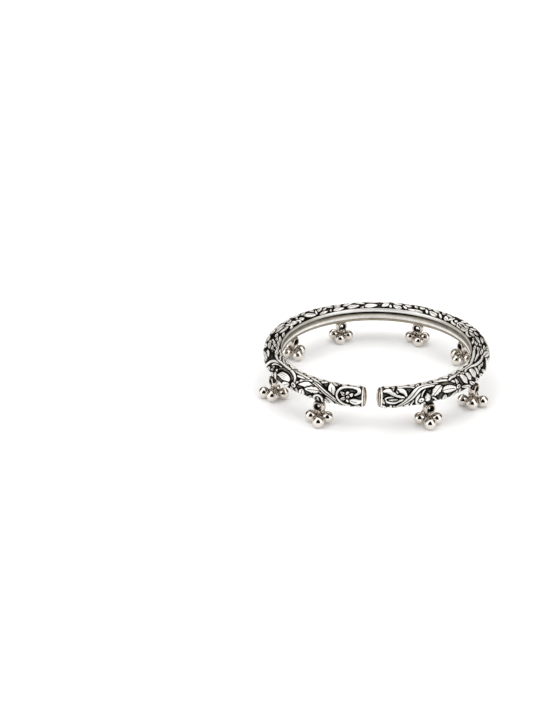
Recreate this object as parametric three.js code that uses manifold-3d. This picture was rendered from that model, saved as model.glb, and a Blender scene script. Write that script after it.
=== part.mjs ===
// An open cuff bangle of oxidised silver: a thick tube with a flat inner band and domed ends,
// with eight clusters of four polished beads hanging from rings soldered under it.
// Millimetres, +Z up. The gap of the cuff faces -Y and the lowest beads stand on z = 0.
import * as THREE from "three";
import { mergeVertices } from "three/addons/utils/BufferGeometryUtils.js";
import Module from "manifold-3d";

const wasm = await Module();
wasm.setup();

// The cuff: its centreline is a circle pressed slightly out of round.
const centreRadius = 34;
const pressedShare = 0.029;
const gapBetweenDomes = 3;
const outerDepth = 2.42;
const innerDepth = 3.75;
const halfHeight = 3.24;
const bandHalfHeight = 1.6;
const domeBulge = 1;
const domeInset = 0.2;
const cuffHeight = 10.6;

// The ring soldered under the cuff at each cluster.
const ringRadius = 1.53;
const ringWire = 0.5;
const solderDepth = 0.27;

// The link that hangs in the ring, an oval of wire.
const linkHalfWidth = 0.9;
const linkWire = 0.2;
const linkPlay = 0.15;

// A bead with its neck and the small loop that holds it on the link.
const beadRadius = 1.86;
const neckLength = 0.27;
const neckRadius = 0.28;
const loopRadius = 0.44;
const loopWire = 0.16;
const loopPlay = 0.03;

// Where each cluster hangs, in degrees round the cuff from its gap, how far outside the centreline its ring
// is soldered, and how far its link is turned.
const clusters = [
  { round: -26.6, outside: 0.4, turned: 25 },
  { round: 30.9, outside: 0.2, turned: -22 },
  { round: 64.6, outside: 1.1, turned: 26 },
  { round: 121.2, outside: -1.4, turned: 26 },
  { round: 156.7, outside: -0.1, turned: 26 },
  { round: -156.7, outside: -0.3, turned: -26 },
  { round: -117.1, outside: -1.5, turned: -26 },
  { round: -61.4, outside: 0.8, turned: -26 },
];

// Where each bead's loop sits on the link, in degrees from its lowest point, and the bead's direction from there.
const beads = [
  { name: "outer", onLink: 70, sideways: 0, outward: 0.866, down: 0.5 },
  { name: "inner", onLink: -70, sideways: 0, outward: -0.866, down: 0.5 },
  { name: "right", onLink: 24, sideways: 0.98, outward: -0.05, down: 0.2 },
  { name: "left", onLink: -24, sideways: -0.98, outward: 0.05, down: 0.2 },
];

const polishedSilver = { color: 0xd9d2c6, roughness: 0.18, metalness: 1 };
const oxidisedSilver = { color: 0x8f8c86, roughness: 0.4, metalness: 1 };

const reach = beadRadius + neckLength + loopRadius + loopPlay;
const lowBead = beads[0];
const lowSwing = THREE.MathUtils.degToRad(lowBead.onLink);
const linkBottomCentre = beadRadius + reach * lowBead.down + linkHalfWidth * Math.cos(lowSwing);

function radiusAt(turn) {
  return centreRadius * (1 - pressedShare * Math.sin(2 * turn));
}

function pointAt(turn) {
  return new THREE.Vector3(Math.sin(turn), -Math.cos(turn), 0).multiplyScalar(radiusAt(turn));
}

// The direction that faces straight out of the cuff, as an angle from -Y.
function facingAt(turn) {
  const growth = -2 * centreRadius * pressedShare * Math.cos(2 * turn);
  return turn - Math.atan(growth / radiusAt(turn));
}

// How far the tube's underside lies below its middle.
function undersideAt(outside) {
  if (outside > 0) return halfHeight * Math.sqrt(1 - (outside / outerDepth) ** 2);
  return bandHalfHeight + (halfHeight - bandHalfHeight) * Math.sqrt(1 - (outside / innerDepth) ** 2);
}

// Each cluster's way of facing, the foot of its ring and link, and the height of the ring's centre.
function placesOf(cluster) {
  const turn = THREE.MathUtils.degToRad(cluster.round);
  const facing = facingAt(turn);
  const outwards = new THREE.Vector3(Math.sin(facing), -Math.cos(facing), 0);
  const foot = pointAt(turn).addScaledVector(outwards, cluster.outside);
  const ringTop = cuffHeight - undersideAt(cluster.outside) + solderDepth;
  return { facing, foot, ringHeight: ringTop - ringWire - ringRadius };
}

class Centreline extends THREE.Curve {
  getPoint(t, target = new THREE.Vector3()) {
    const start = (gapBetweenDomes / 2 + domeBulge) / centreRadius;
    return target.copy(pointAt(THREE.MathUtils.lerp(start, 2 * Math.PI - start, t)));
  }
}

function solidOf(geometry) {
  const plain = geometry.clone();
  plain.deleteAttribute("normal");
  plain.deleteAttribute("uv");
  const merged = mergeVertices(plain);
  return new wasm.Manifold(
    new wasm.Mesh({
      numProp: 3,
      vertProperties: merged.attributes.position.array,
      triVerts: new Uint32Array(merged.index.array),
    }),
  );
}

function geometryOf(solid) {
  const made = solid.getMesh();
  const geometry = new THREE.BufferGeometry();
  geometry.setAttribute("position", new THREE.BufferAttribute(made.vertProperties, 3));
  geometry.setIndex(new THREE.BufferAttribute(made.triVerts, 1));
  geometry.computeVertexNormals();
  return geometry;
}

// The tube's section, rounded outside and on its shoulders, with a flat band inside.
function cuffSection() {
  const section = new THREE.Shape();
  section.absellipse(0, 0, halfHeight, outerDepth, Math.PI, 2 * Math.PI);
  section.absellipse(bandHalfHeight, 0, halfHeight - bandHalfHeight, innerDepth, 0, Math.PI / 2);
  section.absellipse(-bandHalfHeight, 0, halfHeight - bandHalfHeight, innerDepth, Math.PI / 2, Math.PI);
  return section;
}

function cuffTube() {
  const tube = new THREE.ExtrudeGeometry(cuffSection(), {
    steps: 60,
    curveSegments: 4,
    extrudePath: new Centreline(),
  });
  return tube.translate(0, 0, cuffHeight);
}

// A domed end cap, half of it inside the tube.
function endDome(side) {
  const turn = (side * (gapBetweenDomes / 2 + domeBulge)) / centreRadius;
  const facing = facingAt(turn);
  const middle = (innerDepth - outerDepth) / 2;
  const dome = new THREE.SphereGeometry(1, 14, 8);
  dome.scale(domeBulge, (innerDepth + outerDepth) / 2 - domeInset, halfHeight - domeInset);
  dome.translate(0, middle, 0);
  dome.rotateZ(facing);
  const place = pointAt(turn);
  return dome.translate(place.x, place.y, cuffHeight);
}

function solderedRing(cluster) {
  const { facing, foot, ringHeight } = placesOf(cluster);
  const ring = new THREE.TorusGeometry(ringRadius, ringWire, 6, 14);
  ring.rotateX(Math.PI / 2);
  ring.rotateZ(facing);
  return ring.translate(foot.x, foot.y, ringHeight);
}

function cuffGeometry() {
  const rings = clusters.map(solderedRing);
  const added = [endDome(-1), endDome(1), ...rings];
  return geometryOf(added.reduce((solid, piece) => solid.add(solidOf(piece)), solidOf(cuffTube())));
}

// An oval link: a wire ring whose halves are drawn apart.
function linkGeometry(straight) {
  const segments = 12;
  const link = new THREE.TorusGeometry(linkHalfWidth, linkWire, 6, segments);
  link.rotateZ(Math.PI / segments);
  link.rotateY(Math.PI / 2);
  const position = link.attributes.position;
  for (let i = 0; i < position.count; i++) {
    const z = position.getZ(i);
    position.setZ(i, z + (Math.sign(z) * straight) / 2);
  }
  return geometryOf(solidOf(link));
}

function directionOf(bead) {
  return new THREE.Vector3(bead.sideways, -bead.outward, -bead.down).normalize();
}

// The loop faces along the link's wire, as nearly as the bead's direction lets it.
function loopTurn(bead) {
  const swing = THREE.MathUtils.degToRad(bead.onLink);
  const toLink = directionOf(bead).negate();
  const alongWire = new THREE.Vector3(0, -Math.cos(swing), Math.sin(swing));
  const across = new THREE.Vector3().crossVectors(toLink, alongWire).normalize();
  const through = new THREE.Vector3().crossVectors(across, toLink);
  return new THREE.Matrix4().makeBasis(through, across, toLink);
}

function beadGeometry(bead) {
  const turn = loopTurn(bead);
  const ball = new THREE.SphereGeometry(beadRadius, 10, 8);
  ball.rotateX(Math.PI / 2);
  const neckFoot = 0.9 * beadRadius;
  const neckTop = beadRadius + neckLength + loopWire / 2;
  const neck = new THREE.CylinderGeometry(neckRadius, neckRadius, neckTop - neckFoot, 6);
  neck.rotateX(Math.PI / 2);
  neck.translate(0, 0, (neckTop + neckFoot) / 2);
  neck.applyMatrix4(turn);
  const loop = new THREE.TorusGeometry(loopRadius, loopWire, 4, 9);
  loop.rotateY(Math.PI / 2);
  loop.translate(0, 0, beadRadius + neckLength + loopRadius);
  loop.applyMatrix4(turn);
  return geometryOf(solidOf(ball).add(solidOf(neck)).add(solidOf(loop)));
}

// The bead's centre, seen from the cluster's axis.
function beadPlace(bead) {
  const swing = THREE.MathUtils.degToRad(bead.onLink);
  const onWire = new THREE.Vector3(
    0,
    -linkHalfWidth * Math.sin(swing),
    linkBottomCentre - linkHalfWidth * Math.cos(swing),
  );
  return onWire.addScaledVector(directionOf(bead), reach);
}

function named(name, geometry, finish) {
  const mesh = new THREE.Mesh(geometry, new THREE.MeshStandardMaterial(finish));
  mesh.name = name;
  return mesh;
}

const bangle = new THREE.Group();
bangle.add(named("cuff", cuffGeometry(), oxidisedSilver));

const beadShapes = beads.map(beadGeometry);

clusters.forEach((cluster, index) => {
  const { facing, foot, ringHeight } = placesOf(cluster);
  const hanging = new THREE.Group();
  hanging.position.copy(foot);
  hanging.rotation.z = facing + THREE.MathUtils.degToRad(cluster.turned);
  const linkTop = ringHeight - ringRadius + ringWire + linkPlay + linkWire;
  const straight = linkTop - linkHalfWidth - linkBottomCentre;
  const link = named(`link_${index + 1}`, linkGeometry(straight), polishedSilver);
  link.position.z = linkBottomCentre + straight / 2;
  hanging.add(link);
  beads.forEach((bead, which) => {
    const mesh = named(`bead_${index + 1}_${bead.name}`, beadShapes[which], polishedSilver);
    mesh.position.copy(beadPlace(bead));
    hanging.add(mesh);
  });
  bangle.add(hanging);
});

export default bangle;
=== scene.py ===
# Open cuff bangle of oxidised silver with eight clusters of polished beads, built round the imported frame
import math

import bpy
import numpy as np
from mathutils import Matrix, Vector


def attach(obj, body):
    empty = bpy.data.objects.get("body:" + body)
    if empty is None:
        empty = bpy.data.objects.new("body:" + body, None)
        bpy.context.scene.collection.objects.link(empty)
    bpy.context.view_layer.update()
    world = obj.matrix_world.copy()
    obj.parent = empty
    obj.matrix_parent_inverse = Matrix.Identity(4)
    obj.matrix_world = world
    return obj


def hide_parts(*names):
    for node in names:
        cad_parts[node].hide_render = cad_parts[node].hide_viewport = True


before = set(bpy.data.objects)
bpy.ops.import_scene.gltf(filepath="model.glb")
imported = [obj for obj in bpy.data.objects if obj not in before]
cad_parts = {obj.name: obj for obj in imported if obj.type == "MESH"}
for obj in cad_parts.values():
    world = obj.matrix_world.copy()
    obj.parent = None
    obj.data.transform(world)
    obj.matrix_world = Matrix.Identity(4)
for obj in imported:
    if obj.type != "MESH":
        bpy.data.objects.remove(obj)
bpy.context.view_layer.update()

print("frame loaded")

mm = 0.001


def ramp(value, start, length):  # 0 at the start and 1 a length further on, which can be a length downwards
    return np.clip((value - start) / length, 0, 1)


def blend(values, aim, share):  # in place
    values += (aim - values) * share


def runAlong(path):
    return np.concatenate([[0], np.cumsum(np.hypot(*np.diff(path, axis=0).T))])


def deselectAll():
    if bpy.context.object and bpy.context.object.mode != "OBJECT":
        bpy.ops.object.mode_set(mode="OBJECT")
    bpy.ops.object.select_all(action="DESELECT")


def pickOnly(thing):
    deselectAll()
    thing.select_set(True)
    bpy.context.view_layer.objects.active = thing


def setMode(mode):
    bpy.ops.object.mode_set(mode=mode)


def editAll(thing):
    pickOnly(thing)
    setMode("EDIT")
    bpy.ops.mesh.select_all(action="SELECT")


def addedPiece(name):
    thing = bpy.context.object
    thing.name = name
    thing.data.name = name
    return thing


def vertexPlaces(thing):
    flat = np.empty(len(thing.data.vertices) * 3)
    thing.data.vertices.foreach_get("co", flat)
    return flat.reshape(-1, 3)


def moveVertices(thing, places):
    thing.data.vertices.foreach_set("co", np.asarray(places, float).ravel())
    thing.data.update()


# The patina attribute holds oxide and, in places, painted shade
def givePatina(thing, values):
    layer = thing.data.attributes.new("patina", "FLOAT", "POINT")
    layer.data.foreach_set("value", np.ascontiguousarray(values, np.float32))


def copyPiece(pattern, name, turn=None):
    twin = pattern.copy()
    twin.data = pattern.data.copy()
    twin.name = twin.data.name = name
    bpy.context.scene.collection.objects.link(twin)
    if turn is not None:
        twin.data.transform(turn)
    return twin


def finishPiece(thing, node, slot):
    thing.data.materials.clear()
    thing.data.materials.append(silvers[slot])
    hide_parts(node)
    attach(thing, "root")


# The camera, where the outline of the cuff and the places of its rings put it: millimetres and degrees
camera = {
    "place": (5.87, -337.89, 165.37),
    "lookingDown": 24.973,
    "turn": 7.02,
    "focalPixels": 1141.96,
    "frameWidth": 533,
    "sensor": 36.0,
    "clip": (0.01, 50),
}

cameraData = bpy.data.cameras.new("studioCamera")
cameraData.sensor_fit = "HORIZONTAL"
cameraData.sensor_width = camera["sensor"]
cameraData.lens = camera["focalPixels"] * camera["sensor"] / camera["frameWidth"]
cameraData.clip_start, cameraData.clip_end = camera["clip"]
cameraObject = bpy.data.objects.new("studioCamera", cameraData)
cameraObject.location = [v * mm for v in camera["place"]]
cameraObject.rotation_euler = (math.radians(90 - camera["lookingDown"]), 0, math.radians(camera["turn"]))
bpy.context.scene.collection.objects.link(cameraObject)
bpy.context.scene.camera = cameraObject

# The floor and the soft lamps over it, in metres
studio = {
    "floorSide": 12.0,
    "floorPaint": {
        "Base Color": (0.92, 0.93, 0.935, 1),
        "Roughness": 0.7,
        "Specular IOR Level": 0.2,
        "Emission Color": (1, 1, 1, 1),
        "Emission Strength": 0.12,  # a table lit a little from below
    },
    # name, place, size, power, color
    "lamps": [
        ("keySoftbox", (-1.3, -0.9, 2.2), 1.3, 6.0, (1, 0.99, 0.97)),
        ("topSoftbox", (0.1, -1.2, 2.3), 2.4, 10.0, (1, 0.99, 0.98)),
    ],
}

# The white tent that the silver mirrors. Places in it are heights, sides and depths on a ball of radius 1.
tent = {
    "color": (1.0, 0.995, 0.985, 1),
    "strength": 1.66,
    "seen": (0.98, 0.98, 0.98, 1),  # what the camera itself sees past the floor
    # the brown room shows under the tent, at the sides and the back
    "roomLow": (0.025, 0.019, 0.014, 1),
    "roomHigh": (0.13, 0.095, 0.068, 1),
    "roomHeights": (0.1, 0.5),
    "roomTop": (0.45, 0.6),
    "roomRise": 0.4,  # how much higher it reaches towards the sides
    "roomDepth": (0.0, 0.12),
    # the dark camera is an oval in front
    "camera": (0.004, 0.004, 0.004, 1),
    "cameraTop": 0.97,
    "cameraWide": 0.66,
    "cameraEdge": (0.85, 1.1),
    "cameraDepth": (-0.2, -0.1),
}


def feed(tree, node, values):  # a value is a number, a colour or a pair of node and output
    for name, value in values.items():
        if isinstance(value, tuple) and isinstance(value[0], bpy.types.Node):
            tree.links.new(value[0].outputs[value[1]], node.inputs[name])
        else:
            node.inputs[name].default_value = value


def addNode(tree, kind, values={}):
    node = tree.nodes.new("ShaderNode" + kind)
    feed(tree, node, values)
    return node


def mixedColor(tree, factor, first, second):
    node = addNode(tree, "Mix")
    node.data_type = "RGBA"
    feed(tree, node, {0: factor, 6: first, 7: second})  # the colour sockets of a Mix node
    return node, 2


def worked(tree, how, first, second):
    node = addNode(tree, "Math", {0: first, 1: second})
    node.operation = how
    return node, 0


def ranged(tree, value, fromLow, fromHigh, toLow=0.0, toHigh=1.0, smooth=False):
    limits = {"From Min": fromLow, "From Max": fromHigh, "To Min": toLow, "To Max": toHigh}
    node = addNode(tree, "MapRange", {"Value": value, **limits})
    node.interpolation_type = "SMOOTHSTEP" if smooth else "LINEAR"
    return node, 0


deselectAll()
bpy.ops.mesh.primitive_plane_add(size=studio["floorSide"], location=(0, 0, 0))
floor = addedPiece("floor")
floorPaint = bpy.data.materials.new("paleFloor")
floorPaint.use_nodes = True
feed(floorPaint.node_tree, floorPaint.node_tree.nodes["Principled BSDF"], studio["floorPaint"])
floor.data.materials.append(floorPaint)

for name, place, size, power, color in studio["lamps"]:
    lampData = bpy.data.lights.new(name, "AREA")
    lampData.shape = "DISK"
    lampData.size = size
    lampData.energy = power
    lampData.color = color
    lamp = bpy.data.objects.new(name, lampData)
    lamp.location = place
    lamp.rotation_euler = Vector(place).to_track_quat("Z", "Y").to_euler()
    lamp.visible_glossy = False
    bpy.context.scene.collection.objects.link(lamp)


def paintTent(tree):
    split = addNode(tree, "SeparateXYZ", {"Vector": (addNode(tree, "TexCoord"), "Generated")})
    height, sideways, depth = (split, "Z"), (split, "X"), (split, "Y")

    rise = worked(tree, "MULTIPLY", worked(tree, "ABSOLUTE", sideways, 0.0), tent["roomRise"])
    low = ranged(tree, worked(tree, "SUBTRACT", height, rise), *tent["roomTop"], 1.0, 0.0, smooth=True)
    behind = ranged(tree, depth, *tent["roomDepth"], smooth=True)
    brown = mixedColor(tree, ranged(tree, height, *tent["roomHeights"]), tent["roomLow"], tent["roomHigh"])
    withRoom = mixedColor(tree, worked(tree, "MULTIPLY", low, behind), tent["color"], brown)

    shares = [
        worked(tree, "DIVIDE", sideways, tent["cameraWide"]),
        worked(tree, "DIVIDE", height, tent["cameraTop"]),
    ]
    squares = [worked(tree, "MULTIPLY", share, share) for share in shares]
    oval = ranged(tree, worked(tree, "ADD", *squares), *tent["cameraEdge"], 1.0, 0.0, smooth=True)
    inFront = ranged(tree, depth, *tent["cameraDepth"], 1.0, 0.0)
    return mixedColor(tree, worked(tree, "MULTIPLY", oval, inFront), withRoom, tent["camera"])


world = bpy.data.worlds.new("tent")
bpy.context.scene.world = world
world.use_nodes = True
tree = world.node_tree
tree.nodes.clear()
mirrored = addNode(tree, "Background", {"Strength": tent["strength"], "Color": paintTent(tree)})
seen = addNode(tree, "Background", {"Color": tent["seen"]})
byCamera = addNode(tree, "LightPath"), "Is Camera Ray"
either = addNode(tree, "MixShader", {"Fac": byCamera, 1: (mirrored, 0), 2: (seen, 0)})
addNode(tree, "OutputWorld", {"Surface": (either, 0)})
bpy.context.scene.view_settings.view_transform = "Standard"
print("studio ready")

# The two finishes of the silver. Tones are pairs of patina and colour, from bright silver to black oxide. The
# patina attribute carries the real oxide, and also painted shade on the band, the rims, the domes, the rings
# and the links
oxidisedFinish = {
    "tones": [
        (0.06, (0.95, 0.945, 0.93)),
        (0.45, (0.37, 0.32, 0.245)),
        (0.6, (0.15, 0.145, 0.135)),
        (0.83, (0.002, 0.0018, 0.0016)),
    ],
    "metal": 0.55,
    "roughness": 0.36,
    "oxideRoughness": 0.55,
    "oxideMetal": 0.0,
    "oxidePatina": (0.5, 0.85),
    "cloudShare": 0.04,
    "wear": {"Cloud Size": 420.0, "Scratch Size": 7000.0},
    "bump": {"Strength": 0.25, "Distance": 0.00003},
}
polishedFinish = {
    "tones": [
        (0.1, (0.76, 0.712, 0.657)),
        (0.6, (0.27, 0.21, 0.155)),
        (0.95, (0.012, 0.01, 0.009)),
    ],
    "metal": 1.0,
    "roughness": 0.035,
    "oxideRoughness": 0.4,
    "oxideMetal": 0.2,
    "oxidePatina": (0.6, 0.95),
    "cloudShare": 0.04,
    "wear": {"Cloud Size": 300.0, "Scratch Size": 5000.0},
    "bump": {"Strength": 0.1, "Distance": 0.00002},
}
# What both finishes share
worn = {
    "shader": {"Specular IOR Level": 0.02},
    "clouds": {"Detail": 3},
    "scratches": {"Detail": 2},
    "stretch": {"Scale": (1, 1, 0.25), "Rotation": (0.5, 0.3, 0)},
    "noise": (0.3, 0.7),
    "sheen": (0.75, 1.35),  # shares of the roughness
}


def wornSilverGroup():  # clouds of tarnish and fine scratches
    group = bpy.data.node_groups.new("wornSilver", "ShaderNodeTree")
    for side, names in (("INPUT", ("Cloud Size", "Scratch Size")), ("OUTPUT", ("Cloud", "Scratch"))):
        for name in names:
            group.interface.new_socket(name, in_out=side, socket_type="NodeSocketFloat")
    start, end = group.nodes.new("NodeGroupInput"), group.nodes.new("NodeGroupOutput")
    place = addNode(group, "TexCoord"), "Object"
    clouds = addNode(group, "TexNoise", {"Vector": place, "Scale": (start, "Cloud Size")})
    feed(group, clouds, worn["clouds"])
    stretched = addNode(group, "Mapping", {"Vector": place, **worn["stretch"]}), "Vector"
    scratches = addNode(group, "TexNoise", {"Vector": stretched, "Scale": (start, "Scratch Size")})
    feed(group, scratches, worn["scratches"])
    feed(group, end, {"Cloud": (clouds, "Fac"), "Scratch": (scratches, "Fac")})
    return group


def silverMaterial(name, finish):
    material = bpy.data.materials.new(name)
    material.use_nodes = True
    tree = material.node_tree
    shader = tree.nodes["Principled BSDF"]
    marks = tree.nodes.new("ShaderNodeGroup")
    marks.node_tree = wornSilver
    feed(tree, marks, finish["wear"])
    patina = addNode(tree, "Attribute")
    patina.attribute_name = "patina"
    share = finish["cloudShare"]
    clouds = ranged(tree, (marks, "Cloud"), *worn["noise"], -share, share)
    clouded = worked(tree, "ADD", (patina, "Fac"), clouds)
    oxideAndShade = ranged(tree, clouded, *finish["oxidePatina"], smooth=True)
    tones = addNode(tree, "ValToRGB")
    while len(tones.color_ramp.elements) < len(finish["tones"]):
        tones.color_ramp.elements.new(0.5)
    for stop, (place, color) in zip(tones.color_ramp.elements, finish["tones"]):
        stop.position = place
        stop.color = (*color, 1)
    feed(tree, tones, {"Fac": clouded})
    sheens = [finish["roughness"] * share for share in worn["sheen"]]
    sheen = ranged(tree, (marks, "Scratch"), *worn["noise"], *sheens)
    dull = worked(tree, "MULTIPLY", oxideAndShade, finish["oxideRoughness"])
    bump = addNode(tree, "Bump", {"Height": (marks, "Scratch"), **finish["bump"]})
    feed(tree, shader, {
        "Base Color": (tones, "Color"),
        "Roughness": worked(tree, "MAXIMUM", sheen, dull),
        "Metallic": ranged(tree, oxideAndShade, 0.0, 1.0, finish["metal"], finish["oxideMetal"]),
        "Normal": (bump, "Normal"),
        **worn["shader"],
    })
    return material


wornSilver = wornSilverGroup()
silvers = {
    "oxidised_silver": silverMaterial("oxidisedSilver", oxidisedFinish),
    "polished_silver": silverMaterial("polishedSilver", polishedFinish),
}
print("silver ready")

# The cuff's shape in millimetres: a centreline pressed slightly out of round, and the section of its tube
cuff = {
    "radius": 34.0,
    "pressed": 0.029,
    "height": 10.6,
    "outerDepth": 2.42,
    "innerDepth": 3.75,
    "halfHeight": 3.24,
    "bandHalfHeight": 1.6,
    "gap": 3.0,
    "domeBulge": 1.0,
    "turnSteps": 20000,
    "sectionSteps": 400,
}


def radiusAt(turn):
    return cuff["radius"] * (1 - cuff["pressed"] * np.sin(2 * turn))


def facingAt(turn):  # which way is straight out of the cuff
    growth = -2 * cuff["radius"] * cuff["pressed"] * np.cos(2 * turn)
    return turn - np.arctan(growth / radiusAt(turn))


def cuffPoint(turn, outside, height):
    facing = facingAt(turn)
    x = radiusAt(turn) * np.sin(turn) + outside * np.sin(facing)
    y = -radiusAt(turn) * np.cos(turn) - outside * np.cos(facing)
    return np.stack(np.broadcast_arrays(x, y, cuff["height"] + height), -1)


# The way along the centreline, counted from the middle of the gap
turns = np.linspace(-math.pi, math.pi, cuff["turnSteps"] + 1)
way = runAlong(cuffPoint(turns, 0.0, 0.0)[:, :2])
way -= way[cuff["turnSteps"] // 2]
halfWay = way[-1]
domeTurn = (cuff["gap"] / 2 + cuff["domeBulge"]) / cuff["radius"]
tubeStart = float(np.interp(domeTurn, turns, way))

# Half of the section, from the middle of the outside over the top to the edge of the inner band
quarter = np.linspace(0, math.pi / 2, cuff["sectionSteps"])
shoulder = cuff["halfHeight"] - cuff["bandHalfHeight"]
outer = np.stack([cuff["outerDepth"] * np.cos(quarter), cuff["halfHeight"] * np.sin(quarter)])
inner = np.stack([-cuff["innerDepth"] * np.sin(quarter), cuff["bandHalfHeight"] + shoulder * np.cos(quarter)])
sectionOut, sectionUp = np.hstack([outer, inner[:, 1:]])
sectionRun = runAlong(np.stack([sectionOut, sectionUp], 1))
skinEdge = sectionRun[-1]


def outAt(run):
    return np.interp(np.abs(run), sectionRun, sectionOut)


def upAt(run):
    return np.interp(np.abs(run), sectionRun, sectionUp) * np.where(run < 0, -1, 1)


def skinPoint(across, depth, stride=0.02):  # a spot of the section, moved out along the skin's normal
    run = np.abs(across)
    ahead, behind = np.minimum(run + stride, skinEdge), np.maximum(run - stride, -stride)
    slopeOut, slopeUp = outAt(ahead) - outAt(behind), upAt(ahead) - upAt(behind)
    length = np.hypot(slopeOut, slopeUp)
    side = np.where(across < 0, -1, 1)
    return outAt(run) + depth * slopeUp / length, side * (upAt(run) - depth * slopeOut / length)


# The ornament is drawn on a chart of the unrolled skin, in millimetres. Along is the way from the middle of
# the gap, more to the right. Across is the way round the section from its outermost line, more upwards.
relief = {
    "ground": -0.36,
    "outline": -0.42, "outlineWidth": 0.42,
    "swell": 0.05, "stemSwell": 0.03,
    "edgeDrop": 0.11, "edgePatina": 0.12,
    "step": 0.1,
    "margin": 0.9,  # how far round a shape the chart is measured
    "farAway": 9,
    "pathStep": 0.07,
    "spotsAtOnce": 4000,
}
# Lines of the graver. One along the middle: width, depth, patina. Many: pitch, sharpness, depth, patina.
graver = {
    "split": (0.16, 0.2, 1.0),
    "rib": (0.12, 0.16, 0.95),
    "plainRib": (0.11, 0.13, 0.85),
    "veins": (0.72, 6, 0.1, 0.6),
    "fanRibs": (0.5, 5, 0.12, 0.8),
}
veinSlant = 0.9
hatchedStem = {"drop": 0.1, "pitch": 0.42, "sharp": 2.5, "depth": 0.06, "patina": 0.5, "linePatina": 0.35}
boss = {"drop": 0.22, "patina": 0.15, "holeDepth": 0.3}
blossom = {"petalReach": 0.95, "petalWidth": 0.8, "petalFrom": 0.15, "heart": 0.3, "hole": 0.4}


class Chart:
    def __init__(self, along, across):
        self.along, self.across = along, across
        shape = (len(along), len(across))
        self.height = np.full(shape, relief["ground"], np.float32)
        self.patina = np.ones(shape, np.float32)
        self.clear = np.full(shape, relief["farAway"], np.float32)  # how far the nearest shape is

    def spots(self, area=(slice(None), slice(None)), centre=(0, 0)):
        return np.meshgrid(self.along[area[0]] - centre[0], self.across[area[1]] - centre[1], indexing="ij")

    def window(self, path, half):  # none if the shape is off this chart
        margin = half + relief["margin"]
        low, high = path.min(0) - margin, path.max(0) + margin
        columns = slice(*np.searchsorted(self.along, [low[0], high[0]]))
        rows = slice(*np.searchsorted(self.across, [low[1], high[1]]))
        return (columns, rows) if columns.start < columns.stop and rows.start < rows.stop else None

    def measure(self, path, area):  # how far each spot is from the path, on which side, and its nearest point
        along, across = self.spots(area)
        spots = np.stack([along.ravel(), across.ravel()], 1).astype(np.float32)
        near = np.empty(len(spots), int)
        points = path.astype(np.float32)
        for start in range(0, len(spots), relief["spotsAtOnce"]):
            part = spots[start : start + relief["spotsAtOnce"], :, None]
            gap = (part[:, 0] - points[:, 0]) ** 2 + (part[:, 1] - points[:, 1]) ** 2
            near[start : start + relief["spotsAtOnce"]] = gap.argmin(1)
        tangent = np.gradient(path, axis=0)
        tangent /= np.hypot(*tangent.T)[:, None] + 1e-9
        off = spots - path[near]
        side = tangent[near, 0] * off[:, 1] - tangent[near, 1] * off[:, 0]
        return np.hypot(*off.T).reshape(along.shape), side.reshape(along.shape), near.reshape(along.shape)

    def lay(self, area, distance, half, height, patina):  # a shape in its black outline, over the older ones
        edge = distance - half
        ditch = np.clip((relief["outlineWidth"] - edge) / relief["step"] + 0.5, 0, 1)
        inside = np.clip(0.5 - edge / relief["step"], 0, 1)
        heights, patinas, clear = self.height[area], self.patina[area], self.clear[area]
        blend(heights, np.minimum(heights, relief["outline"]), ditch)
        blend(patinas, 1, ditch)
        blend(heights, height, inside)
        blend(patinas, patina, inside)
        np.minimum(clear, edge, out=clear)


def smoothPath(points):
    points = np.array(points, float)
    if len(points) == 2:
        points = np.array([points[0], (points[0] + points[1]) / 2, points[1]])
    ends = np.vstack([2 * points[0] - points[1], points, 2 * points[-1] - points[-2]])
    pieces = []
    for number in range(len(points) - 1):
        before, start, end, after = ends[number : number + 4]
        count = max(3, int(np.hypot(*(end - start)) / relief["pathStep"]))
        share = np.linspace(0, 1, count, endpoint=False)[:, None]
        square, cube = 2 * before - 5 * start + 4 * end - after, 3 * start - before - 3 * end + after
        pieces.append(0.5 * (2 * start + (end - before) * share + square * share**2 + cube * share**3))
    return np.vstack(pieces + [points[-1:]])


def pulse(value, sharp):
    return np.exp(sharp * (np.cos(2 * np.pi * value) - 1))


def cutLines(name, value, height, patina, *fades):
    *pitch, size, depth, tone = graver[name]
    lines = pulse(value / pitch[0], size) if pitch else np.exp(-((value / size) ** 2))
    for fade in fades:
        lines = lines * fade
    return height - depth * lines, np.maximum(patina, tone * lines)


def stem(chart, kind, halves, points):
    path = smoothPath(points)
    run = runAlong(path)
    area = chart.window(path, max(halves))
    if area is None:
        return
    distance, side, near = chart.measure(path, area)
    half = np.interp(run / run[-1], np.linspace(0, 1, len(halves)), halves)[near] + relief["stemSwell"]
    outwards = np.clip(distance / np.maximum(half, relief["swell"]), 0, 1)
    height = -relief["edgeDrop"] * outwards**3
    patina = relief["edgePatina"] * outwards**4
    if kind == "split":
        height, patina = cutLines("split", side, height, patina)
    if kind == "hatched":
        lines = pulse(run[near] / hatchedStem["pitch"], hatchedStem["sharp"])
        height = height - hatchedStem["drop"] - hatchedStem["depth"] * lines
        patina = np.maximum(patina, hatchedStem["patina"] + hatchedStem["linePatina"] * lines)
    chart.lay(area, distance, half, height, patina)


def leafHalves(kind, width, share):  # half its width from the base to the tip
    if kind in ("petal", "fan"):
        oval = np.sqrt(np.clip(1 - (1.25 * share - 0.25 - 0.35) ** 2 / 0.4225, 0, 1))
        return width * oval * np.minimum(1, 0.25 + 2.2 * share)
    half = width * np.sin(np.pi * share**0.8) ** 0.75
    return half * (0.8 + 0.2 * np.abs(np.cos(3.5 * np.pi * share))) if kind == "lobed" else half


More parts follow.
